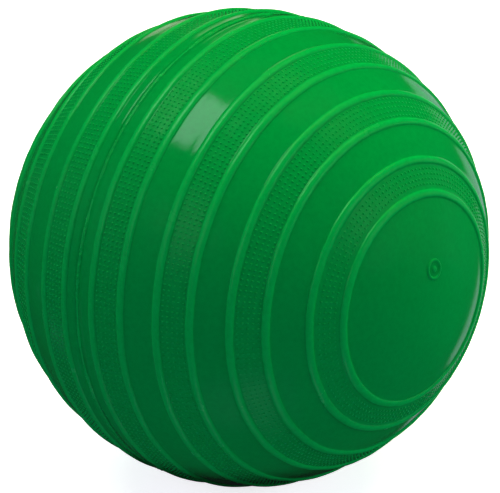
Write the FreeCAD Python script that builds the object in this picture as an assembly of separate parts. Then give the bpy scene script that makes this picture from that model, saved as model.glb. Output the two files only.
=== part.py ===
import FreeCAD, Part
import math
import os

# A soft hand ball for massage and light exercise: a PVC skin in two welded halves, a valve
# at the rear pole, and a loose mineral filling. Millimetres, and degrees for angles.
# Origin at the ball's centre, +X along the pole axis towards the plain front cap, +Z up.
# A latitude is counted from the equator (the weld) towards the pole of the half it is on.

FRONT, REAR = 1, -1

# skin
BALL_DIAMETER = 115.0      # over the rib tops
RIB_HEIGHT = 0.6
RIB_WIDTH = 2.2
WALL = 3.5                 # of the skin between its ribs

# bands of one half, in degrees of latitude from rib to rib, starting at the equator
HALF_EQUATOR_BAND = 4.5    # plain, with the weld at its middle
KNURLED_BAND = 8.0         # all four are the same width
PLAIN_BANDS = (9.0, 9.0, 9.8)

# weld
SEAM_WIDTH = 0.5
SEAM_OUTER_BEAD = 0.25     # height over the skin
SEAM_INNER_BEAD = 0.3      # height into the hollow

# valve, all round about the pole axis
BUSH_RADIUS = 7.0          # where it passes through the skin
BUSH_FLANGE_RADIUS = 9.0   # bonded to the skin's inner face
BUSH_FLANGE_DEPTH = 6.0    # of the flange's inner face, below the ball's surface
BUSH_NECK_RADIUS = 5.5
BUSH_NECK_DEPTH = 10.9
STOPPER_HOLE_RADIUS = 3.2
RECESS_RADIUS = 5.2        # holds the stopper's head
RECESS_DEPTH = 2.0

STOPPER_HEAD_RADIUS = 5.0  # its face is flush with the ball's surface
STOPPER_LENGTH = 12.0      # of the tapered shank under the head
SHANK_RADIUS_AT_HEAD = 3.12
SHANK_RADIUS_AT_END = 2.9
SHANK_END_CHAMFER = 0.6

CORE_RADIUS = 1.9
CORE_LENGTH = 9.4
CORE_FACE_DEPTH = 1.0      # of the core's outer face, below the ball's surface
NEEDLE_LEAD_IN = 0.5       # chamfer of the stopper's head round the core
NEEDLE_HOLE_RADIUS = 1.05
NEEDLE_HOLE_LENGTH = 6.0

# filling
FILLING_GAP = 0.6          # to the skin's inner face
FILLING_LEVEL = -10.0      # height of its settled surface

TOP_RADIUS = BALL_DIAMETER / 2
BASE_RADIUS = TOP_RADIUS - RIB_HEIGHT
HOLLOW_RADIUS = BASE_RADIUS - WALL
SEAM_HALF = SEAM_WIDTH / 2

CENTRE = FreeCAD.Vector(0, 0, 0)
POLE_AXIS = FreeCAD.Vector(1, 0, 0)
UP = FreeCAD.Vector(0, 0, 1)


def at(side, depth, radius):
    """Profile point at a depth below the pole's surface and a radius from the pole axis."""
    return FreeCAD.Vector(side * (BASE_RADIUS - depth), 0, radius)


def on_sphere(side, latitude, sphere_radius):
    """Profile point on a sphere about the ball's centre."""
    angle = math.radians(latitude)
    return FreeCAD.Vector(side * sphere_radius * math.sin(angle), 0, sphere_radius * math.cos(angle))


def latitude_at_radius(sphere_radius, radius):
    """Latitude at which a sphere is this far from the pole axis."""
    return math.degrees(math.acos(radius / sphere_radius))


def latitude_at_x(sphere_radius, x):
    """Latitude at which a sphere is this far from the equator's plane."""
    return math.degrees(math.asin(x / sphere_radius))


def line(start, end):
    return Part.LineSegment(start, end).toShape()


def path(points):
    """Straight edges through the points."""
    return [line(a, b) for a, b in zip(points, points[1:])]


def sphere_arc(side, sphere_radius, start, end):
    """Arc of a sphere's profile between two latitudes."""
    stops = (start, (start + end) / 2, end)
    return Part.Arc(*[on_sphere(side, stop, sphere_radius) for stop in stops]).toShape()


def revolve(edges, axis=POLE_AXIS):
    """Solid of revolution of a closed profile."""
    wire = Part.Wire(Part.__sortEdges__(edges))
    return Part.Face(wire).revolve(CENTRE, axis, 360)


def rib_latitudes():
    """Latitudes of the ribs' crests on one half: a rib stands on each edge of a knurled band."""
    latitudes = [HALF_EQUATOR_BAND]
    for plain_band in PLAIN_BANDS:
        latitudes.append(latitudes[-1] + KNURLED_BAND)
        latitudes.append(latitudes[-1] + plain_band)
    latitudes.append(latitudes[-1] + KNURLED_BAND)
    return latitudes


def ribbed_outline(side, start, end):
    """Outside of the skin between two latitudes: the sphere, with a rounded bead for each rib."""
    half_rib = math.degrees(RIB_WIDTH / 2 / BASE_RADIUS)
    edges = []
    here = start
    for crest in rib_latitudes():
        foot = crest - half_rib
        far_foot = crest + half_rib
        edges.append(sphere_arc(side, BASE_RADIUS, here, foot))
        bead = Part.Arc(
            on_sphere(side, foot, BASE_RADIUS),
            on_sphere(side, crest, TOP_RADIUS),
            on_sphere(side, far_foot, BASE_RADIUS),
        )
        edges.append(bead.toShape())
        here = far_foot
    edges.append(sphere_arc(side, BASE_RADIUS, here, end))
    return edges


def half_shell(side, hole_radius):
    """Half of the skin, with a round hole of this radius at its pole, or none for 0."""
    outer_start = latitude_at_x(BASE_RADIUS, SEAM_HALF)
    inner_start = latitude_at_x(HOLLOW_RADIUS, SEAM_HALF)
    outer_end = latitude_at_radius(BASE_RADIUS, hole_radius)
    inner_end = latitude_at_radius(HOLLOW_RADIUS, hole_radius)
    edges = ribbed_outline(side, outer_start, outer_end)
    edges.append(sphere_arc(side, HOLLOW_RADIUS, inner_start, inner_end))
    edges.append(
        line(on_sphere(side, inner_start, HOLLOW_RADIUS), on_sphere(side, outer_start, BASE_RADIUS))
    )
    edges.append(
        line(on_sphere(side, inner_end, HOLLOW_RADIUS), on_sphere(side, outer_end, BASE_RADIUS))
    )
    return revolve(edges)


def weld_seam():
    """Ring of weld through the whole wall, with a rounded bead outside and inside."""
    outer_foot = math.sqrt(BASE_RADIUS**2 - SEAM_HALF**2)
    inner_foot = math.sqrt(HOLLOW_RADIUS**2 - SEAM_HALF**2)
    outer_front = FreeCAD.Vector(SEAM_HALF, 0, outer_foot)
    outer_rear = FreeCAD.Vector(-SEAM_HALF, 0, outer_foot)
    inner_front = FreeCAD.Vector(SEAM_HALF, 0, inner_foot)
    inner_rear = FreeCAD.Vector(-SEAM_HALF, 0, inner_foot)
    outer_crest = FreeCAD.Vector(0, 0, BASE_RADIUS + SEAM_OUTER_BEAD)
    inner_crest = FreeCAD.Vector(0, 0, HOLLOW_RADIUS - SEAM_INNER_BEAD)
    return revolve([
        Part.Arc(outer_front, outer_crest, outer_rear).toShape(),
        line(outer_rear, inner_rear),
        Part.Arc(inner_rear, inner_crest, inner_front).toShape(),
        line(inner_front, outer_front),
    ])


def valve_bush():
    """Thick ring in the rear pole: flush outside, with a flange and a neck inside."""
    outer = [latitude_at_radius(BASE_RADIUS, r) for r in (BUSH_RADIUS, RECESS_RADIUS)]
    bonded = [latitude_at_radius(HOLLOW_RADIUS, r) for r in (BUSH_FLANGE_RADIUS, BUSH_RADIUS)]
    edges = [
        sphere_arc(REAR, BASE_RADIUS, *outer),
        sphere_arc(REAR, HOLLOW_RADIUS, *bonded),
        line(on_sphere(REAR, bonded[1], HOLLOW_RADIUS), on_sphere(REAR, outer[0], BASE_RADIUS)),
    ]
    edges += path([
        on_sphere(REAR, outer[1], BASE_RADIUS),
        at(REAR, RECESS_DEPTH, RECESS_RADIUS),
        at(REAR, RECESS_DEPTH, STOPPER_HOLE_RADIUS),
        at(REAR, BUSH_NECK_DEPTH, STOPPER_HOLE_RADIUS),
        at(REAR, BUSH_NECK_DEPTH, BUSH_NECK_RADIUS),
        at(REAR, BUSH_FLANGE_DEPTH, BUSH_NECK_RADIUS),
        at(REAR, BUSH_FLANGE_DEPTH, BUSH_FLANGE_RADIUS),
        on_sphere(REAR, bonded[0], HOLLOW_RADIUS),
    ])
    return revolve(edges)


CORE_END_DEPTH = CORE_FACE_DEPTH + CORE_LENGTH
SHANK_END_DEPTH = RECESS_DEPTH + STOPPER_LENGTH


def valve_stopper():
    """Push-in plug with a domed head and a tapered shank, hollowed for the needle core."""
    mouth_radius = CORE_RADIUS + NEEDLE_LEAD_IN
    face = [latitude_at_radius(BASE_RADIUS, r) for r in (STOPPER_HEAD_RADIUS, mouth_radius)]
    edges = [sphere_arc(REAR, BASE_RADIUS, *face)]
    edges += path([
        on_sphere(REAR, face[1], BASE_RADIUS),
        at(REAR, CORE_FACE_DEPTH, CORE_RADIUS),
        at(REAR, CORE_END_DEPTH, CORE_RADIUS),
        at(REAR, CORE_END_DEPTH, 0),
        at(REAR, SHANK_END_DEPTH, 0),
        at(REAR, SHANK_END_DEPTH, SHANK_RADIUS_AT_END - SHANK_END_CHAMFER),
        at(REAR, SHANK_END_DEPTH - SHANK_END_CHAMFER, SHANK_RADIUS_AT_END),
        at(REAR, RECESS_DEPTH, SHANK_RADIUS_AT_HEAD),
        at(REAR, RECESS_DEPTH, STOPPER_HEAD_RADIUS),
        on_sphere(REAR, face[0], BASE_RADIUS),
    ])
    return revolve(edges)


def needle_core():
    """Self-sealing slug in the stopper, with a blind hole that guides the pump needle."""
    return revolve(path([
        at(REAR, CORE_FACE_DEPTH, NEEDLE_HOLE_RADIUS),
        at(REAR, CORE_FACE_DEPTH, CORE_RADIUS),
        at(REAR, CORE_END_DEPTH, CORE_RADIUS),
        at(REAR, CORE_END_DEPTH, 0),
        at(REAR, CORE_FACE_DEPTH + NEEDLE_HOLE_LENGTH, 0),
        at(REAR, CORE_FACE_DEPTH + NEEDLE_HOLE_LENGTH, NEEDLE_HOLE_RADIUS),
        at(REAR, CORE_FACE_DEPTH, NEEDLE_HOLE_RADIUS),
    ]))


def granulate_filling():
    """Loose granulate settled in the bottom of the hollow, with a level surface."""
    radius = HOLLOW_RADIUS - FILLING_GAP
    edge_radius = math.sqrt(radius**2 - FILLING_LEVEL**2)
    middle_angle = (math.asin(FILLING_LEVEL / radius) - math.pi / 2) / 2
    edge = FreeCAD.Vector(edge_radius, 0, FILLING_LEVEL)
    middle = FreeCAD.Vector(radius * math.cos(middle_angle), 0, radius * math.sin(middle_angle))
    bottom = FreeCAD.Vector(0, 0, -radius)
    surface_centre = FreeCAD.Vector(0, 0, FILLING_LEVEL)
    edges = [Part.Arc(bottom, middle, edge).toShape()]
    edges += path([edge, surface_centre, bottom])
    return revolve(edges, UP)


PARTS = {
    "front_half_shell": half_shell(FRONT, 0),
    "rear_half_shell": half_shell(REAR, BUSH_RADIUS),
    "weld_seam": weld_seam(),
    "valve_bush": valve_bush(),
    "valve_stopper": valve_stopper(),
    "needle_core": needle_core(),
    "granulate_filling": granulate_filling(),
}

os.makedirs("parts", exist_ok=True)
for node, shape in PARTS.items():
    shape.exportStep(f"parts/{node}.step")
    box = shape.BoundBox
    print(
        f"{node}: valid {shape.isValid()}, {len(shape.Solids)} solid, {shape.Volume:.0f} mm3,"
        f" x {box.XMin:.2f} to {box.XMax:.2f}, z {box.ZMin:.2f} to {box.ZMax:.2f}"
    )
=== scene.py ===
import math

import bpy
import numpy as np
from mathutils import Matrix, Vector


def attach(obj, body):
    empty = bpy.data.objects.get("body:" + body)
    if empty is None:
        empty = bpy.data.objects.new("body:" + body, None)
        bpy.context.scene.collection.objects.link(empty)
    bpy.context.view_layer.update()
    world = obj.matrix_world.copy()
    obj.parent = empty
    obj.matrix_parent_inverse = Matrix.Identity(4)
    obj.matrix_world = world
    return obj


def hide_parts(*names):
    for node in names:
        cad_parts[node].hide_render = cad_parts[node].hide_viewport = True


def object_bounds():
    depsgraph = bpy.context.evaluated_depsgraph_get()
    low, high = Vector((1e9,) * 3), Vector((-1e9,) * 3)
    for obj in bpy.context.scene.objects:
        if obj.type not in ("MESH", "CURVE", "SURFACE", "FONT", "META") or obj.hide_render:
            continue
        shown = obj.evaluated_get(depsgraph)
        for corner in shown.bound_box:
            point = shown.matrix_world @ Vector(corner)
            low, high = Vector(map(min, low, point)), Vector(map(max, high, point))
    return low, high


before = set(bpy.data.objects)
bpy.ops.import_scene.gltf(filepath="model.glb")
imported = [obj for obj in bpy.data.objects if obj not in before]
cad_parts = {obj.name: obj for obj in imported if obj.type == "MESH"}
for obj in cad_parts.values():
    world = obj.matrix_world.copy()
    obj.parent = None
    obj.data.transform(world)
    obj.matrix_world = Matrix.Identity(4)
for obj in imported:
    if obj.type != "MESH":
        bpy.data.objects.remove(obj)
cad_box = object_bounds()

# A soft ribbed hand ball. Lengths are in millimetres until a mesh is made, angles in degrees.
# The pole axis is X, a latitude runs from the equator (the weld) to the pole of its half,
# and a longitude runs round X from the top of the ball.

MM = 0.001
FRONT, REAR = 1, -1
RANDOM = np.random.default_rng(41)

# ---------------------------------------------------------------- sizes

FLOOR_HEIGHT = cad_box[0][2] / MM
BASE_RADIUS = 56.9         # of the skin between its ribs
HOLLOW_RADIUS = 53.4
SEAM_HALF = 0.25           # half the gap that the weld fills
RIB_HEIGHT = 0.5           # 0.6 in the CAD model: the photo shows slightly finer ribs
HALF_RIB = 0.92            # half a rib's width, 1.1 in the CAD model

# bands of one half, in degrees of latitude from rib to rib, starting at the equator
HALF_EQUATOR_BAND = 4.5
KNURLED_BAND = 8.0
PLAIN_BANDS = (9.0, 9.0, 9.8)

# valve, all as in the CAD model: a depth is counted from the pole's surface
BUSH_RADIUS = 7.0
STOPPER_HOLE_RADIUS = 3.2
RECESS_RADIUS = 5.2
RECESS_DEPTH = 2.0
BUSH_FLANGE_RADIUS = 9.0
BUSH_FLANGE_DEPTH = 6.0
BUSH_NECK_RADIUS = 5.5
BUSH_NECK_DEPTH = 10.9
HEAD_RADIUS = 5.0
SHANK_END_DEPTH = 14.0
SHANK_RADIUS_AT_HEAD = 3.12
SHANK_RADIUS_AT_END = 2.9
CORE_RADIUS = 1.9
CORE_FACE_DEPTH = 1.0
CORE_END_DEPTH = 10.4
NEEDLE_HOLE_RADIUS = 1.05
NEEDLE_HOLE_LENGTH = 6.0

# ---------------------------------------------------------------- camera, placed as the photo shows

VIEW_AZIMUTH = 42.9
VIEW_ELEVATION = 19.7
VIEW_DISTANCE = 0.648      # metres
VIEW_LENS = 195.0
VIEW_SHIFT = (0.0014, 0.001)

azimuth = math.radians(VIEW_AZIMUTH)
elevation = math.radians(VIEW_ELEVATION)
VIEW_RIGHT = Vector((math.cos(azimuth), math.sin(azimuth), 0))
VIEW_BACK = Vector((
    math.sin(azimuth) * math.cos(elevation),
    -math.cos(azimuth) * math.cos(elevation),
    math.sin(elevation),
))
VIEW_UP = VIEW_BACK.cross(VIEW_RIGHT)


def seen_from_camera(right, up, back):
    """World direction from its parts to the right, upwards and back to the camera."""
    return (VIEW_RIGHT * right + VIEW_UP * up + VIEW_BACK * back).normalized()


def make_camera():
    data = bpy.data.cameras.new("camera")
    data.lens = VIEW_LENS
    data.sensor_width = 36.0
    data.shift_x, data.shift_y = VIEW_SHIFT
    data.clip_end = 50.0
    camera = bpy.data.objects.new("camera", data)
    camera.matrix_world = Matrix.Translation(VIEW_BACK * VIEW_DISTANCE) @ VIEW_BACK.to_track_quat(
        "Z", "Y"
    ).to_matrix().to_4x4()
    bpy.context.collection.objects.link(camera)
    bpy.context.scene.camera = camera


# ---------------------------------------------------------------- mesh tools

def make_object(name, points, faces, smooth=True):
    """A mesh object from points in millimetres."""
    mesh = bpy.data.meshes.new(name)
    mesh.from_pydata((np.asarray(points) * MM).tolist(), [], faces)
    mesh.validate()
    mesh.polygons.foreach_set("use_smooth", [smooth] * len(mesh.polygons))
    mesh.update()
    piece = bpy.data.objects.new(name, mesh)
    bpy.context.collection.objects.link(piece)
    return piece


def add_attribute(piece, name, values):
    layer = piece.data.attributes.new(name, "FLOAT", "POINT")
    layer.data.foreach_set("value", np.asarray(values, dtype=np.float32))


def is_point(ring):
    return np.ptp(ring, axis=0).max() < 1e-4


def ring_surface(name, rings, closed):
    """Surface through rings of points. A ring shrunk to one place becomes one point."""
    points, starts, faces = [], [], []
    count = rings.shape[1]
    for ring in rings:
        starts.append(len(points))
        points.extend(ring[:1] if is_point(ring) else ring)
    sizes = np.diff(starts + [len(points)])
    pairs = list(zip(range(len(rings) - 1), range(1, len(rings))))
    if closed:
        pairs.append((len(rings) - 1, 0))
    for a, b in pairs:
        if sizes[a] == 1 and sizes[b] == 1:
            continue
        for i in range(count):
            j = (i + 1) % count
            corners = [starts[a] + i % sizes[a], starts[a] + j % sizes[a]]
            corners += [starts[b] + j % sizes[b], starts[b] + i % sizes[b]]
            faces.append(tuple(dict.fromkeys(corners)))
    return make_object(name, points, faces)


def turned(name, profile, columns=128):
    """Solid turned about X from a closed profile of (x, radius) points, listed counter-clockwise."""
    angle = np.linspace(0, 2 * np.pi, columns, endpoint=False)
    x, radius = np.asarray(profile, dtype=float).T
    rings = np.stack([
        np.repeat(x[:, None], columns, axis=1),
        radius[:, None] * np.sin(angle),
        radius[:, None] * np.cos(angle),
    ], axis=-1)
    return ring_surface(name, rings, closed=True)


def rounded(profile, radius, steps=4):
    """The closed profile with each corner cut back by up to the radius and rounded."""
    points = [np.asarray(p, dtype=float) for p in profile]
    smooth = []
    for before, here, after in zip(points[-1:] + points[:-1], points, points[1:] + points[:1]):
        if here[1] < 1e-6:
            smooth.append(here)
            continue
        to_before, to_after = before - here, after - here
        cut = min(radius, 0.4 * np.linalg.norm(to_before), 0.4 * np.linalg.norm(to_after))
        start = here + to_before / np.linalg.norm(to_before) * cut
        end = here + to_after / np.linalg.norm(to_after) * cut
        for t in np.linspace(0, 1, steps + 1):
            smooth.append((1 - t) ** 2 * start + 2 * t * (1 - t) * here + t**2 * end)
    return smooth


def waves(positions, low, high, count):
    """Smooth random wobble round a circle, mostly within -1 to 1.

    It is the sum of this many waves, each of which fits round the circle low to high times.
    """
    total = np.zeros_like(positions)
    for _ in range(count):
        total += np.sin(RANDOM.integers(low, high) * positions + RANDOM.uniform(0, 2 * np.pi))
    return total / math.sqrt(count)


# ---------------------------------------------------------------- the skin

def rib_latitudes():
    latitudes = [HALF_EQUATOR_BAND]
    for plain_band in PLAIN_BANDS:
        latitudes.append(latitudes[-1] + KNURLED_BAND)
        latitudes.append(latitudes[-1] + plain_band)
    latitudes.append(latitudes[-1] + KNURLED_BAND)
    return latitudes


RIBS = rib_latitudes()
KNURLED = list(zip(RIBS[0::2], RIBS[1::2]))
NO_RIB = -1

# rows across a rib, in half widths from its crest, and the fillet at each foot
RIB_STOPS = (-1.35, -1.04, -0.97, -0.88, -0.7, -0.4, 0, 0.4, 0.7, 0.88, 0.97, 1.04, 1.35)
FILLET_WIDTH = 0.35
FILLET_HEIGHT = 0.1

SKIN_COLUMNS = 512
BAND_ROW = 1.25            # about the latitude between two rows of a band
CAP_ROWS = 17
INNER_ROWS = 20

# where the soft skin has settled a little flat, and the slow waves in all of it
FLAT_DIRECTION = seen_from_camera(0.36, 0.93, 0.0)
FLAT_DEPTH = 0.7
FLAT_ANGLE = 24.0
SWELL_HEIGHT = 0.05
SWELL_ALONG = np.array([3.1, 2.3, 0.0])
SWELL_ACROSS = np.array([0.0, 0.0, 4.2])
SWELL_PHASE = 0.6

SINK = 0.04                # how deep the foot of a raised detail is set in the skin


def bead(u):
    """Height of a rib across its width, 1 at the crest, with a small fillet at each foot."""
    if abs(u) < 1:
        return FILLET_HEIGHT + (1 - FILLET_HEIGHT) * math.sqrt(1 - u * u)
    return FILLET_HEIGHT * (1 - min(abs(u) - 1, FILLET_WIDTH) / FILLET_WIDTH) ** 2


def directions(side, latitude, longitude):
    """Unit vectors of places on the ball, from arrays of degrees."""
    lat, lon = np.radians(latitude), np.radians(longitude)
    return np.stack([side * np.sin(lat), np.cos(lat) * np.sin(lon), np.cos(lat) * np.cos(lon)], axis=-1)


def place(unit, height):
    """Points at this height over the plain skin, on a ball that isn't quite round."""
    off = np.degrees(np.arccos(np.clip(unit @ np.array(FLAT_DIRECTION), -1, 1)))
    flat = FLAT_DEPTH * np.exp(-((off / FLAT_ANGLE) ** 2))
    swell = SWELL_HEIGHT * np.sin(unit @ SWELL_ALONG) * np.cos(unit @ SWELL_ACROSS + SWELL_PHASE)
    return unit * (BASE_RADIUS + height - flat + swell)[..., None]


def skin_stops(end_latitude):
    """Latitudes of the outer rows, each with its rib (or NO_RIB) and its place across that rib."""
    half = math.degrees(HALF_RIB / BASE_RADIUS)
    stops = []
    edge = math.degrees(SEAM_HALF / BASE_RADIUS)
    for number, crest in enumerate(RIBS):
        foot = crest + RIB_STOPS[0] * half
        rows = max(2, round((foot - edge) / BAND_ROW))
        stops += [(lat, NO_RIB, 0) for lat in np.linspace(edge, foot, rows, endpoint=False)]
        stops += [(crest + u * half, number, u) for u in RIB_STOPS[:-1]]
        edge = crest + RIB_STOPS[-1] * half
    return stops + [(lat, NO_RIB, 0) for lat in np.linspace(edge, end_latitude, CAP_ROWS)]


def outer_rows(side, end_latitude, lon):
    """Rings of the outer face, and for each ring whether it is on a rib or on a knurled band."""
    turn = np.radians(lon)
    sway = [0.03 * waves(turn, 25, 70, 5) + 0.05 * waves(turn, 4, 20, 4) for _ in RIBS]
    tall = [1 + 0.05 * waves(turn, 5, 50, 6) for _ in RIBS]
    rings, on_rib, on_knurl = [], [], []
    for latitude, rib, u in skin_stops(end_latitude):
        row, height = np.full_like(lon, latitude), np.zeros_like(lon)
        if rib != NO_RIB:
            ease = 1 - 0.5 * abs(u) / RIB_STOPS[-1]
            row = latitude + sway[rib] * ease
            height = RIB_HEIGHT * bead(u) * tall[rib]
        rings.append(place(directions(side, row, lon), height))
        on_rib.append(rib != NO_RIB and abs(u) < 1)
        on_knurl.append(any(low < latitude < high for low, high in KNURLED) and not on_rib[-1])
    return rings, on_rib, on_knurl


def inner_rows(side, end_latitude, lon):
    """Rings of the smooth inner face, from the pole or the valve's hole to the weld."""
    if end_latitude < 90:
        end_latitude = math.degrees(math.acos(BUSH_RADIUS / HOLLOW_RADIUS))
    seam_latitude = math.degrees(SEAM_HALF / HOLLOW_RADIUS)
    latitudes = np.linspace(end_latitude, seam_latitude, INNER_ROWS)
    return [directions(side, np.full_like(lon, latitude), lon) * HOLLOW_RADIUS for latitude in latitudes]


def half_skin(name, side, end_latitude):
    """Half of the skin: ribs with slightly uneven edges outside, smooth inside."""
    lon = np.linspace(0, 360, SKIN_COLUMNS, endpoint=False)
    outer, on_rib, on_knurl = outer_rows(side, end_latitude, lon)
    inner = inner_rows(side, end_latitude, lon)
    rings = np.array(outer + inner)
    if side == FRONT:
        rings = rings[:, ::-1]
    piece = ring_surface(name, rings, closed=True)
    points_per_ring = [1 if is_point(ring) else len(ring) for ring in rings]
    plain_inside = [False] * len(inner)
    add_attribute(piece, "rib", np.repeat(on_rib + plain_inside, points_per_ring))
    add_attribute(piece, "knurl", np.repeat(on_knurl + plain_inside, points_per_ring))
    return piece


PIP_PITCH = 1.2
PIP_WIDTH = 0.5            # along the band
PIP_LENGTH = 0.6           # across the band
PIP_HEIGHT = 0.17
PIP_CORNERS = 10
PIP_JITTER = 0.02          # degrees out of line
PIP_GROWTH = 0.06          # spread of the sizes, as a part of 1


def pip_outline():
    """A pip's outline, a rectangle with very round corners, as offsets along and across its band."""
    angle = np.linspace(0, 2 * np.pi, PIP_CORNERS, endpoint=False)
    round_off = (np.abs(np.cos(angle)) ** 3 + np.abs(np.sin(angle)) ** 3) ** (-1 / 3)
    return np.cos(angle) * round_off * PIP_WIDTH / 2, np.sin(angle) * round_off * PIP_LENGTH / 2


def pip_band(name, side, low, high):
    """Rows of small raised pips between two ribs, in line along the meridians."""
    middle = (low + high) / 2
    rows = 5 if middle < 50 else 4
    pitch = math.degrees(PIP_PITCH / BASE_RADIUS)
    count = round(360 * math.cos(math.radians(middle)) / pitch)
    latitudes = middle + pitch * (np.arange(rows) - (rows - 1) / 2)
    lon = np.arange(count) * 360 / count + RANDOM.uniform(0, 1)
    lat_grid, lon_grid = np.meshgrid(latitudes, lon, indexing="ij")
    lat_grid = lat_grid + RANDOM.normal(0, PIP_JITTER, lat_grid.shape)
    lon_grid = lon_grid + RANDOM.normal(0, PIP_JITTER, lon_grid.shape)
    grow = RANDOM.normal(1, PIP_GROWTH, lat_grid.shape)
    along, across = pip_outline()
    foot, shoulder, crown = (1.0, -SINK), (0.74, 0.8 * PIP_HEIGHT), (0.0, PIP_HEIGHT)
    points, faces = [], []
    for lat0, lon0, size in zip(lat_grid.ravel(), lon_grid.ravel(), grow.ravel()):
        start = len(points)
        for scale, height in (foot, shoulder, crown):
            if scale == 0:
                lat_ring, lon_ring = np.array([lat0]), np.array([lon0])
            else:
                lat_ring = lat0 + np.degrees(across * scale * size / BASE_RADIUS)
                spread = along * scale * size / (BASE_RADIUS * math.cos(math.radians(lat0)))
                lon_ring = lon0 + np.degrees(spread)
            unit = directions(side, lat_ring, lon_ring)
            points.extend(place(unit, np.full(len(lat_ring), height)))
        for i in range(PIP_CORNERS):
            j = (i + 1) % PIP_CORNERS
            flank = [start + i, start + j, start + PIP_CORNERS + j, start + PIP_CORNERS + i]
            top = [start + PIP_CORNERS + i, start + PIP_CORNERS + j, start + 2 * PIP_CORNERS]
            faces.append(flank if side == REAR else flank[::-1])
            faces.append(top if side == REAR else top[::-1])
    return make_object(name, points, faces)


MARK_LATITUDE = 81.6
MARK_LONGITUDE = 3.7
MARK_COLUMNS = 48
MARK_PROFILE = (           # radius and height
    (2.5, -SINK), (2.35, 0.22), (2.1, 0.32), (1.85, 0.22), (1.7, -SINK),
    (0.8, -SINK), (0.68, 0.18), (0.35, 0.27), (0.0, 0.3),
)


def moulding_mark():
    """A plain ring with a pip in it, left by the mould near the pole."""
    centre = Vector(directions(FRONT, MARK_LATITUDE, MARK_LONGITUDE))
    along = Vector((1, 0, 0)).cross(centre).normalized()
    across = centre.cross(along)
    turn = np.linspace(0, 2 * np.pi, MARK_COLUMNS, endpoint=False)
    sideways = np.outer(np.cos(turn), along) + np.outer(np.sin(turn), across)
    rings = []
    for radius, height in MARK_PROFILE:
        tilt = radius / BASE_RADIUS
        unit = math.cos(tilt) * np.array(centre) + math.sin(tilt) * sideways
        rings.append(place(unit, np.full(len(turn), height)))
    return ring_surface("moulding_mark", np.array(rings), closed=False)


WELD_COLUMNS = 1440
WELD_SINK = 0.03
INNER_BEAD = 0.3           # height into the hollow, as in the CAD model


def weld_line():
    """The weld: an uneven, broken raised line outside, a low bead inside."""
    lon = np.linspace(0, 360, WELD_COLUMNS, endpoint=False)
    turn = np.radians(lon)
    drift = 0.07 * waves(turn, 12, 60, 6)
    broken = np.clip(0.5 + 0.9 * waves(turn, 8, 34, 7), 0, 1)
    fine = 1 + 0.25 * waves(turn, 120, 320, 6)
    height = 0.05 + 0.26 * broken * np.clip(fine, 0.4, 1.5)
    half_width = 0.42 + 0.12 * broken
    rings = []
    for u in np.linspace(-1, 1, 9):
        x = drift + u * half_width
        lat = np.degrees(np.arcsin(x / BASE_RADIUS))
        rise = height * (1 - u * u) - WELD_SINK
        rings.append(place(directions(FRONT, lat, lon), rise))
    for u in np.linspace(1, -1, 7):
        lat = np.full_like(lon, math.degrees(u * SEAM_HALF / HOLLOW_RADIUS))
        rings.append(directions(FRONT, lat, lon) * (HOLLOW_RADIUS - INNER_BEAD * (1 - u * u)))
    return ring_surface("weld_line", np.array(rings)[::-1], closed=True)


# ---------------------------------------------------------------- valve and filling

GROOVE_RADIUS = 6.05       # in the bush, round the stopper's recess
GROOVE_HALF_WIDTH = 0.15
GROOVE_DEPTH = 0.18
HEAD_GROOVE = (            # radius and depth, in the stopper's head
    (3.4, 0.0), (3.5, 0.16), (3.75, 0.2), (4.0, 0.16), (4.1, 0.0),
)
LEAD_IN = 0.5              # chamfer of the stopper's head round the core
END_CHAMFER = 0.6          # at the end of its shank
DISH_DEPTH = 0.06          # of the core's face at the needle hole


def rear_x(depth):
    """x of a place at this depth below the rear pole's surface."""
    return -(BASE_RADIUS - depth)


def skin_x(radius, depth=0.0):
    """x of a place at a depth under the ball's rear surface, at a radius from the axis."""
    return -(math.sqrt(BASE_RADIUS**2 - radius**2) - depth)


def bush():
    """Ring in the pole, with a fine moulded groove round the stopper's recess."""
    hollow = [
        (-math.sqrt(HOLLOW_RADIUS**2 - r**2), r)
        for r in np.linspace(BUSH_FLANGE_RADIUS, BUSH_RADIUS, 4)
    ]
    groove_inside, groove_outside = GROOVE_RADIUS - GROOVE_HALF_WIDTH, GROOVE_RADIUS + GROOVE_HALF_WIDTH
    profile = [
        (rear_x(RECESS_DEPTH), RECESS_RADIUS),
        (rear_x(RECESS_DEPTH), STOPPER_HOLE_RADIUS),
        (rear_x(BUSH_NECK_DEPTH), STOPPER_HOLE_RADIUS),
        (rear_x(BUSH_NECK_DEPTH), BUSH_NECK_RADIUS),
        (rear_x(BUSH_FLANGE_DEPTH), BUSH_NECK_RADIUS),
        (rear_x(BUSH_FLANGE_DEPTH), BUSH_FLANGE_RADIUS),
        *hollow,
        (skin_x(BUSH_RADIUS), BUSH_RADIUS),
        (skin_x(groove_outside), groove_outside),
        (skin_x(GROOVE_RADIUS, GROOVE_DEPTH), GROOVE_RADIUS),
        (skin_x(groove_inside), groove_inside),
        (skin_x(RECESS_RADIUS), RECESS_RADIUS),
    ]
    return turned("bush_ring", rounded(profile, 0.15))


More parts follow.
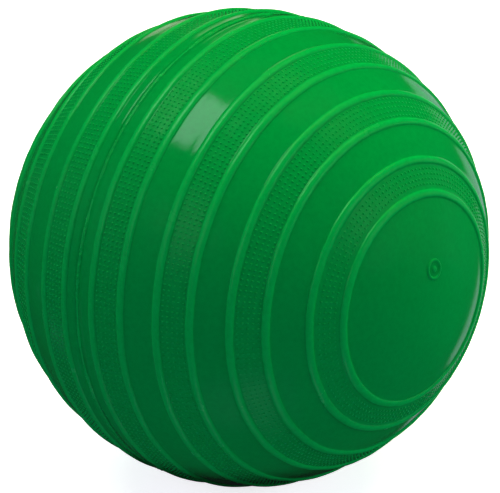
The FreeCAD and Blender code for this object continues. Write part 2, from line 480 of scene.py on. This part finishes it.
def stopper():
    """Push-in stopper: a domed head with a shallow round groove, and a tapered shank."""
    mouth = CORE_RADIUS + LEAD_IN
    profile = [
        (rear_x(CORE_FACE_DEPTH), CORE_RADIUS),
        (rear_x(CORE_END_DEPTH), CORE_RADIUS),
        (rear_x(CORE_END_DEPTH), 0),
        (rear_x(SHANK_END_DEPTH), 0),
        (rear_x(SHANK_END_DEPTH), SHANK_RADIUS_AT_END - END_CHAMFER),
        (rear_x(SHANK_END_DEPTH - END_CHAMFER), SHANK_RADIUS_AT_END),
        (rear_x(RECESS_DEPTH), SHANK_RADIUS_AT_HEAD),
        (rear_x(RECESS_DEPTH), HEAD_RADIUS),
        (skin_x(HEAD_RADIUS), HEAD_RADIUS),
        *[(skin_x(radius, depth), radius) for radius, depth in HEAD_GROOVE[::-1]],
        (skin_x(mouth), mouth),
    ]
    return turned("stopper_plug", rounded(profile, 0.18))


def core():
    """Self-sealing slug with the blind needle hole in a slightly dished face."""
    profile = [
        (rear_x(CORE_FACE_DEPTH + DISH_DEPTH), NEEDLE_HOLE_RADIUS),
        (rear_x(CORE_FACE_DEPTH + NEEDLE_HOLE_LENGTH), NEEDLE_HOLE_RADIUS),
        (rear_x(CORE_FACE_DEPTH + NEEDLE_HOLE_LENGTH), 0),
        (rear_x(CORE_END_DEPTH), 0),
        (rear_x(CORE_END_DEPTH), CORE_RADIUS),
        (rear_x(CORE_FACE_DEPTH), CORE_RADIUS),
    ]
    return turned("core_slug", rounded(profile, 0.1), columns=96)


FILLING_RADIUS = 52.8
FILLING_LEVEL = -10.7      # a little under the CAD level, to leave room for the heaped grains
HEAP_COLUMNS = 180
HEAP_ROWS = 40             # on the surface, and as many on the bowl under it
GRAINS = 2600
GRAIN_SPREAD = 51.0        # radius they lie within


def heap_height(x, y):
    """Uneven surface of the settled granulate."""
    slow = 0.35 * np.sin(0.16 * x + 0.8) * np.cos(0.13 * y - 0.4)
    fine = 0.15 * np.sin(0.5 * x - 0.37 * y)
    return FILLING_LEVEL + slow + fine


def granulate():
    """Bowl-shaped heap of granulate with an uneven surface, made of rings about Z."""
    turn = np.linspace(0, 2 * np.pi, HEAP_COLUMNS, endpoint=False)
    across, along = np.cos(turn), np.sin(turn)
    level_rim = np.full_like(turn, FILLING_LEVEL)
    rings = []
    edge = math.sqrt(FILLING_RADIUS**2 - FILLING_LEVEL**2)
    for part in np.linspace(0, 1, HEAP_ROWS):
        x, y = edge * part * across, edge * part * along
        z = heap_height(x, y) if part < 1 else level_rim
        rings.append(np.stack([x, y, z], -1))
    low = math.asin(FILLING_LEVEL / FILLING_RADIUS)
    for angle in np.linspace(low, -math.pi / 2, HEAP_ROWS)[1:]:
        radius = FILLING_RADIUS * math.cos(angle)
        z = np.full_like(turn, FILLING_RADIUS * math.sin(angle))
        rings.append(np.stack([radius * across, radius * along, z], -1))
    piece = ring_surface("granulate_heap", np.array(rings), closed=False)
    piece.data.flip_normals()
    return piece


def grains():
    """Loose grains lying on the heap, each a small irregular stone."""
    corners = np.array([
        (1, 0, 0), (0, 1, 0), (-1, 0, 0), (0, -1, 0), (0, 0, 1), (0, 0, -1),
    ], dtype=float)
    sides = [(0, 1, 4), (1, 2, 4), (2, 3, 4), (3, 0, 4), (1, 0, 5), (2, 1, 5), (3, 2, 5), (0, 3, 5)]
    points, faces = [], []
    for _ in range(GRAINS):
        radius = GRAIN_SPREAD * math.sqrt(RANDOM.uniform(0, 1))
        angle = RANDOM.uniform(0, 2 * math.pi)
        x, y = radius * math.cos(angle), radius * math.sin(angle)
        size = RANDOM.uniform(0.25, 0.55)
        turn = Matrix.Rotation(RANDOM.uniform(0, 6.28), 3, Vector(RANDOM.normal(0, 1, 3)))
        stone = corners * RANDOM.uniform(0.6, 1.15, (6, 1)) * size
        stone = stone @ np.array(turn) + (x, y, heap_height(x, y) + 0.3 * size)
        start = len(points)
        points.extend(stone)
        faces.extend([tuple(start + i for i in side) for side in sides])
    return make_object("granulate_grains", points, faces, smooth=False)


# ---------------------------------------------------------------- materials

def new_material(name):
    material = bpy.data.materials.new(name)
    material.use_nodes = True
    nodes, links = material.node_tree.nodes, material.node_tree.links
    return material, nodes, links, nodes["Principled BSDF"]


def noise(nodes, links, scale, detail=3.0, roughness=0.55, distortion=0.0):
    """Noise in the object's own place, in features per metre."""
    coordinate = nodes.new("ShaderNodeTexCoord")
    texture = nodes.new("ShaderNodeTexNoise")
    texture.inputs["Scale"].default_value = scale
    texture.inputs["Detail"].default_value = detail
    texture.inputs["Roughness"].default_value = roughness
    texture.inputs["Distortion"].default_value = distortion
    links.new(coordinate.outputs["Object"], texture.inputs["Vector"])
    return texture.outputs["Fac"]


def remap(nodes, links, value, low, high, from_low=0.3, from_high=0.7):
    node = nodes.new("ShaderNodeMapRange")
    node.inputs["From Min"].default_value = from_low
    node.inputs["From Max"].default_value = from_high
    node.inputs["To Min"].default_value = low
    node.inputs["To Max"].default_value = high
    links.new(value, node.inputs["Value"])
    return node.outputs["Result"]


def mix_colour(nodes, links, factor, first, second, blend="MIX"):
    node = nodes.new("ShaderNodeMix")
    node.data_type = "RGBA"
    node.blend_type = blend
    if isinstance(factor, float):
        node.inputs["Factor"].default_value = factor
    else:
        links.new(factor, node.inputs["Factor"])
    for value, socket in ((first, node.inputs["A"]), (second, node.inputs["B"])):
        if isinstance(value, tuple):
            socket.default_value = (*value, 1)
        else:
            links.new(value, socket)
    return node.outputs["Result"]


def calculate(nodes, links, operation, first, second):
    node = nodes.new("ShaderNodeMath")
    node.operation = operation
    for value, socket in ((first, node.inputs[0]), (second, node.inputs[1])):
        if isinstance(value, float):
            socket.default_value = value
        else:
            links.new(value, socket)
    return node.outputs["Value"]


def attribute(nodes, name):
    node = nodes.new("ShaderNodeAttribute")
    node.attribute_name = name
    return node.outputs["Fac"]


def bump(nodes, links, height, distance, below=None):
    node = nodes.new("ShaderNodeBump")
    node.inputs["Strength"].default_value = 1.0
    node.inputs["Distance"].default_value = distance
    links.new(height, node.inputs["Height"])
    if below is not None:
        links.new(below, node.inputs["Normal"])
    return node.outputs["Normal"]


PLAIN_GREEN = (0.0, 0.288, 0.046)
DEEP_GREEN = (0.0, 0.272, 0.044)
# painted light: the ribs, and the weld that shares this colour, get a lighter green that stands in for
# the light their raised flanks catch
RIB_GREEN = (0.0003, 0.38, 0.061)
KNURL_GREEN = (0.0002, 0.30, 0.049)
PIP_GREEN = (0.0002, 0.33, 0.055)
RIB_ROUGHER = 0.14
KNURL_ROUGHER = 0.07


def soft_pvc(name, plain, deep, gloss, rough, ribbed=False, specular=0.5):
    """Soft PVC: a colour clouded between two greens, and an uneven moulded gloss."""
    material, nodes, links, shader = new_material(name)
    cloud = remap(nodes, links, noise(nodes, links, 38.0), 0.0, 1.0)
    colour = mix_colour(nodes, links, cloud, plain, deep)
    speck = remap(nodes, links, noise(nodes, links, 900.0, detail=2.0), 0.94, 1.05)
    roughness = remap(nodes, links, noise(nodes, links, 140.0, detail=4.0), gloss, rough)
    if ribbed:
        rib = attribute(nodes, "rib")
        knurl = attribute(nodes, "knurl")
        colour = mix_colour(nodes, links, knurl, colour, KNURL_GREEN)
        # the ribs painted lighter: painted light for the light their raised flanks catch
        colour = mix_colour(nodes, links, rib, colour, RIB_GREEN)
        for mask, rougher in ((rib, RIB_ROUGHER), (knurl, KNURL_ROUGHER)):
            more = calculate(nodes, links, "MULTIPLY", mask, rougher)
            roughness = calculate(nodes, links, "ADD", roughness, more)
    combine = nodes.new("ShaderNodeCombineColor")
    for channel in ("Red", "Green", "Blue"):
        links.new(speck, combine.inputs[channel])
    colour = mix_colour(nodes, links, 1.0, colour, combine.outputs["Color"], "MULTIPLY")
    links.new(colour, shader.inputs["Base Color"])
    links.new(roughness, shader.inputs["Roughness"])
    peel = bump(nodes, links, noise(nodes, links, 330.0, detail=2.0), 0.000012)
    grain = bump(nodes, links, noise(nodes, links, 2300.0, detail=3.0), 0.000012, below=peel)
    links.new(grain, shader.inputs["Normal"])
    shader.inputs["IOR"].default_value = 1.5
    shader.inputs["Specular IOR Level"].default_value = specular
    shader.inputs["Subsurface Weight"].default_value = 0.12
    shader.inputs["Subsurface Radius"].default_value = (0.0004, 0.0014, 0.0006)
    shader.inputs["Subsurface Scale"].default_value = 1.0
    return material


def stone_material():
    """Pale mineral granulate, each grain its own tone."""
    material, nodes, links, shader = new_material("mineral_granulate")
    coordinate = nodes.new("ShaderNodeTexCoord")
    cell = nodes.new("ShaderNodeTexVoronoi")
    cell.inputs["Scale"].default_value = 1400.0
    links.new(coordinate.outputs["Object"], cell.inputs["Vector"])
    tone = nodes.new("ShaderNodeSeparateColor")
    links.new(cell.outputs["Color"], tone.inputs["Color"])
    colour = mix_colour(nodes, links, tone.outputs["Red"], (0.42, 0.38, 0.32), (0.68, 0.65, 0.59))
    dust = remap(nodes, links, noise(nodes, links, 60.0), 0.0, 0.35)
    colour = mix_colour(nodes, links, dust, colour, (0.34, 0.29, 0.23))
    links.new(colour, shader.inputs["Base Color"])
    links.new(remap(nodes, links, noise(nodes, links, 700.0), 0.7, 0.95), shader.inputs["Roughness"])
    links.new(bump(nodes, links, cell.outputs["Distance"], 0.0004), shader.inputs["Normal"])
    return material


def black_rubber():
    """Matte black rubber with fine dust."""
    material, nodes, links, shader = new_material("core_rubber")
    dust = remap(nodes, links, noise(nodes, links, 1500.0), 0.0, 0.5)
    colour = mix_colour(nodes, links, dust, (0.012, 0.013, 0.012), (0.045, 0.05, 0.045))
    links.new(colour, shader.inputs["Base Color"])
    links.new(remap(nodes, links, noise(nodes, links, 500.0), 0.55, 0.8), shader.inputs["Roughness"])
    links.new(bump(nodes, links, noise(nodes, links, 4000.0), 0.00002), shader.inputs["Normal"])
    return material


# ---------------------------------------------------------------- floor and light

def make_floor():
    """A pale matt floor that glows a little, and sends the ball no light, reflection or shadow."""
    reach = 6000.0
    corners = [(-reach, -reach), (reach, -reach), (reach, reach), (-reach, reach)]
    floor = make_object("floor", [(x, y, FLOOR_HEIGHT) for x, y in corners], [(0, 1, 2, 3)], smooth=False)
    material, nodes, links, shader = new_material("floor_paint")
    tone = remap(nodes, links, noise(nodes, links, 3.0), 0.0, 1.0)
    paint = mix_colour(nodes, links, tone, (0.93, 0.93, 0.93), (0.95, 0.95, 0.95))
    links.new(paint, shader.inputs["Base Color"])
    shader.inputs["Roughness"].default_value = 0.9
    shader.inputs["Specular IOR Level"].default_value = 0.1
    shader.inputs["Emission Color"].default_value = (1, 1, 1, 1)
    shader.inputs["Emission Strength"].default_value = 0.75
    floor.data.materials.append(material)
    floor.visible_glossy = False
    floor.visible_diffuse = False
    floor.visible_shadow = False


CONTACT_SHADE_RADIUS = 46.0
CONTACT_SHADE_DEPTH = 0.5  # under the floor


def make_contact_shade():
    """Dark disc just under the floor, hidden from the camera, that shades the foot of the ball."""
    turn = np.linspace(0, 2 * np.pi, 48, endpoint=False)
    height = np.full_like(turn, FLOOR_HEIGHT - CONTACT_SHADE_DEPTH)
    rim = np.stack([np.cos(turn) * CONTACT_SHADE_RADIUS, np.sin(turn) * CONTACT_SHADE_RADIUS, height], -1)
    disc = make_object("contact_shade", rim, [tuple(range(len(rim)))], smooth=False)
    material, _, _, shader = new_material("contact_shade_black")
    shader.inputs["Base Color"].default_value = (0, 0, 0, 1)
    disc.data.materials.append(material)
    disc.visible_camera = False
    disc.visible_glossy = False


def soft_light(name, towards, distance, size, along, power, colour, lights_skin):
    """Rectangular soft light, aimed at the ball from a direction given as the camera sees it.

    It either lights the skin or is reflected in its gloss, so that each can be set alone.
    """
    data = bpy.data.lights.new(name, "AREA")
    data.shape = "RECTANGLE"
    data.size, data.size_y = size
    data.energy = power
    data.color = colour
    light = bpy.data.objects.new(name, data)
    back = seen_from_camera(*towards)
    right = seen_from_camera(*along).cross(back).normalized()
    turn = Matrix((right, back.cross(right), back)).transposed().to_4x4()
    light.matrix_world = Matrix.Translation(back * distance) @ turn
    light.visible_camera = False
    light.visible_glossy = not lights_skin
    light.visible_diffuse = lights_skin
    bpy.context.collection.objects.link(light)


# lights on the skin: direction (right, up and back to the camera), power in watts, colour.
# Powers and colours were fitted to the photo's shading, and some powers then changed.
FILL_LIGHTS = {
    "top_left": ((-0.41, 0.88, 0.23), 5.5, (1.00, 1.00, 0.81)),
    "top_right": ((0.41, 0.88, 0.23), 6.8, (1.00, 1.00, 0.40)),
    "top": ((0.00, 0.98, 0.10), 2.4, (1.00, 1.00, 0.55)),
    "front_left": ((-0.50, 0.14, 0.86), 4.0, (0.74, 0.74, 1.00)),
    "front_right": ((0.86, 0.14, 0.50), 4.0, (0.79, 0.79, 1.00)),
    "left": ((-0.95, 0.25, 0.10), 1.8, (0.64, 0.64, 1.00)),
    "right": ((0.99, 0.14, 0.00), 1.9, (1.00, 1.00, 0.91)),
    "back_left": ((-0.50, 0.14, -0.86), 9.9, (1.00, 1.00, 0.87)),
    "back_right": ((0.86, 0.14, -0.50), 8.9, (0.82, 0.82, 1.00)),
    "below": ((0.00, -0.98, 0.21), 5.0, (0.68, 0.68, 1.00)),
}
FILL_DISTANCE = 1.1        # metres, as are the sizes and distances of all the lights
FILL_SIZE = (0.6, 0.6)
UPWARDS = (0.0, 0.3, 0.95)  # direction of a fill light's height

# lights in the gloss: direction, distance, size, direction of the height, power, colour
GLOSS_LIGHTS = {
    "softbox": ((-0.339, 0.841, 0.421), 0.9, (0.25, 0.37), (0.5, 0.87, 0.0), 1.4, (0.76, 0.87, 0.97)),
    "right_card": ((0.43, 0.08, -0.90), 1.2, (0.48, 1.0), (0.0, 1.0, 0.0), 0.75, (0.75, 0.92, 1.0)),
    "back_strip": ((-0.11, 0.69, -0.69), 1.2, (0.10, 0.50), (0.49, -0.58, -0.65), 0.17, (1.0, 0.97, 0.8)),
    "back_card": ((-0.17, 0.43, -0.885), 1.2, (0.10, 0.24), (0.73, -0.55, -0.41), 0.05, (1.0, 0.97, 0.8)),
    "left_card": ((-0.80, -0.36, -0.48), 1.2, (0.10, 0.5), (0.0, 1.0, 0.0), 0.035, (0.3, 0.8, 1.0)),
}


def make_world():
    world = bpy.data.worlds.new("studio")
    bpy.context.scene.world = world
    world.use_nodes = True
    background = world.node_tree.nodes["Background"]
    background.inputs["Color"].default_value = (0.85, 0.95, 1.0, 1)
    background.inputs["Strength"].default_value = 0.01


# ---------------------------------------------------------------- assembly

def keep(piece, body, slot, material, *nodes):
    """Put a finished piece on its body, in the place of CAD nodes."""
    piece.data.materials.append(material)
    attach(piece, body)
    if nodes:
        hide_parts(*nodes)


make_camera()

skin = soft_pvc("skin_pvc", PLAIN_GREEN, DEEP_GREEN, 0.07, 0.14, ribbed=True, specular=0.3)
pip_pvc = soft_pvc("knurl_pvc", PIP_GREEN, KNURL_GREEN, 0.3, 0.45, specular=0.06)
weld_pvc = soft_pvc("weld_pvc", RIB_GREEN, PLAIN_GREEN, 0.18, 0.35, specular=0.25)
bush_pvc = soft_pvc("bush_pvc", DEEP_GREEN, (0.0, 0.22, 0.036), 0.3, 0.45)
stopper_pvc = soft_pvc("stopper_pvc", (0.0, 0.2, 0.034), (0.0, 0.16, 0.028), 0.35, 0.5)

hole_latitude = math.degrees(math.acos(BUSH_RADIUS / BASE_RADIUS))
keep(half_skin("front_skin", FRONT, 90.0), "shell", "skin", skin, "front_half_shell")
keep(half_skin("rear_skin", REAR, hole_latitude), "shell", "skin", skin, "rear_half_shell")
for side, label in ((FRONT, "front"), (REAR, "rear")):
    for number, (low, high) in enumerate(KNURLED, start=1):
        keep(pip_band(f"{label}_knurl_{number}", side, low, high), "shell", "skin", pip_pvc)
keep(moulding_mark(), "shell", "skin", pip_pvc)
keep(weld_line(), "shell", "weld", weld_pvc, "weld_seam")
keep(bush(), "shell", "bush", bush_pvc, "valve_bush")
keep(stopper(), "stopper", "stopper", stopper_pvc, "valve_stopper")
keep(core(), "stopper", "core", black_rubber(), "needle_core")
stone = stone_material()
keep(granulate(), "filling", "granulate", stone, "granulate_filling")
keep(grains(), "filling", "granulate", stone)

make_floor()
make_contact_shade()
make_world()
for light_name, (towards, power, colour) in FILL_LIGHTS.items():
    soft_light(light_name, towards, FILL_DISTANCE, FILL_SIZE, UPWARDS, power, colour, True)
for light_name, settings in GLOSS_LIGHTS.items():
    soft_light(light_name, *settings, False)
bpy.context.scene.view_settings.view_transform = "Standard"
